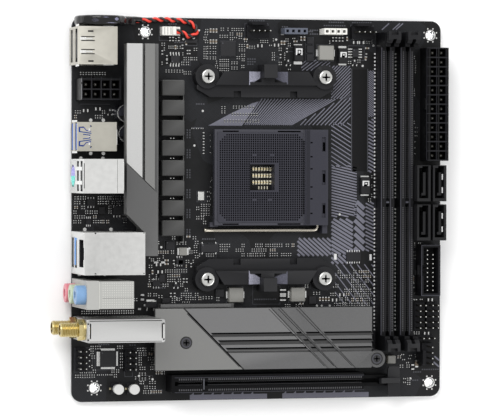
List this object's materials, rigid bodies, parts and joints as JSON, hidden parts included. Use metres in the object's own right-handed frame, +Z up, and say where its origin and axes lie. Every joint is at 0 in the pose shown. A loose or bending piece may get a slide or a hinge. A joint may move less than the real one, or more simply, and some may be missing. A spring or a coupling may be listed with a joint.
{
  "type": "motherboard",
  "caption": "Small square desktop computer main board with a lever processor socket, latched memory slots, heatsinks and a rear panel socket row.",
  "frame": {"origin": "axis of the lower left mounting hole at the board's underside", "axes": "+X from the rear panel edge across the board, +Y from the expansion slot edge, +Z up out of the component side"},
  "size_m": [0.1806, 0.1704, 0.0376],
  "materials": {
    "board": "satin solder mask",
    "backplate": "satin black",
    "bracket": "matt black",
    "bright_screw": "bright nickel",
    "socket_plastic": "matt slate",
    "lever_steel": "bright steel",
    "slot_plastic": "matt black",
    "latch_plastic": "satin black",
    "power_plastic": "satin black",
    "tin": "tin",
    "header_plastic": "matt black",
    "gold_pin": "gold plate",
    "grey_plastic": "matt",
    "white_plastic": "satin",
    "nickel_shell": "nickel plate",
    "silver_shell": "tin plate",
    "port_plastic": "matt black",
    "blue_plastic": "satin",
    "ps2_plastic": "satin purple",
    "audio_housing": "satin grey",
    "pink_plastic": "satin",
    "green_plastic": "satin",
    "light_blue_plastic": "satin",
    "card_board": "satin",
    "gold": "gold plate",
    "dark_aluminium": "bead blasted",
    "light_aluminium": "bead blasted",
    "chip_plastic": "matt",
    "choke": "matt",
    "pale_choke": "matt",
    "pad": "soft",
    "can": "satin",
    "cover_aluminium": "brushed",
    "brass_post": "satin",
    "shrink_wrap": "glossy",
    "wire": "satin"
  },
  "bodies": {
    "root": {"addressable_header": "grey_plastic", "antenna_jacks": "gold", "antenna_nuts": "gold", "atx_power_header": "power_plastic", "audio_block": "audio_housing", "battery_cell": "shrink_wrap", "battery_lead": "wire", "battery_plug": "white_plastic", "bracket_screws": "bright_screw", "bulk_capacitors": "can", "chips": "chip_plastic", "chipset_heatsink": "dark_aluminium", "circuit_board": "board", "cooler_bracket_lower": "bracket", "cooler_bracket_upper": "bracket", "cpu_backplate": "backplate", "cpu_power_header": "power_plastic", "dimm_slot_1": "slot_plastic", "dimm_slot_2": "slot_plastic", "display_insert": "port_plastic", "display_shell": "nickel_shell", "fan_headers": "header_plastic", "header_bases": "header_plastic", "header_pins": "gold_pin", "lan_usb_insert": "port_plastic", "lan_usb_shell": "silver_shell", "line_in_jack": "light_blue_plastic", "line_out_jack": "green_plastic", "m2_cover": "cover_aluminium", "m2_cover_screws": "bright_screw", "m2_socket": "slot_plastic", "m2_standoffs": "brass_post", "mic_jack": "pink_plastic", "pcie_slot": "slot_plastic", "power_pins": "tin", "ps2_socket": "ps2_plastic", "ps2_usb_insert": "port_plastic", "ps2_usb_shell": "silver_shell", "sata_ports": "header_plastic", "small_chokes": "pale_choke", "socket_base": "socket_plastic", "surface_capacitors": "can", "thermal_pads": "pad", "usb3_header": "header_plastic", "usb_dual_insert": "blue_plastic", "usb_dual_shell": "nickel_shell", "vrm_chokes": "choke", "vrm_fin_cover": "light_aluminium", "vrm_heatsink": "dark_aluminium", "vrm_mosfets": "chip_plastic", "white_sockets": "white_plastic", "wifi_cage": "silver_shell", "wifi_card": "card_board"},
    "lever": {"socket_lever": "lever_steel"},
    "cover": {"socket_cover": "socket_plastic"},
    "latch_1_top": {"dimm_latch_1_top": "latch_plastic"},
    "latch_1_bottom": {"dimm_latch_1_bottom": "latch_plastic"},
    "latch_2_top": {"dimm_latch_2_top": "latch_plastic"},
    "latch_2_bottom": {"dimm_latch_2_bottom": "latch_plastic"},
    "expansion_latch": {"pcie_latch": "latch_plastic"}
  },
  "joints": [
    {"name": "lever_lift", "type": "hinge", "parent": "root", "child": "lever", "pos_m": [0.10124, 0.09283, 0.0045], "axis": [0, 1, 0], "range_deg": [0, 90]},
    {"name": "cover_slide", "type": "slide", "parent": "root", "child": "cover", "axis": [-1, 0, 0], "range_m": [0, 0.001]},
    {"name": "latch_1_top_swing", "type": "hinge", "parent": "root", "child": "latch_1_top", "pos_m": [0.13244, 0.15583, 0.0052], "axis": [-1, 0, 0], "range_deg": [0, 30]},
    {"name": "latch_1_bottom_swing", "type": "hinge", "parent": "root", "child": "latch_1_bottom", "pos_m": [0.13244, 0.01783, 0.0052], "axis": [1, 0, 0], "range_deg": [0, 30]},
    {"name": "latch_2_top_swing", "type": "hinge", "parent": "root", "child": "latch_2_top", "pos_m": [0.14154, 0.15583, 0.0052], "axis": [-1, 0, 0], "range_deg": [0, 30]},
    {"name": "latch_2_bottom_swing", "type": "hinge", "parent": "root", "child": "latch_2_bottom", "pos_m": [0.14154, 0.01783, 0.0052], "axis": [1, 0, 0], "range_deg": [0, 30]},
    {"name": "expansion_latch_press", "type": "hinge", "parent": "root", "child": "expansion_latch", "pos_m": [0.13224, 0.00193, 0.0054], "axis": [0, 1, 0], "range_deg": [0, 25]}
  ],
  "couplings": [
    {"joint": "cover_slide", "follows": "lever_lift", "m_per_rad": 0.0006366}
  ]
}
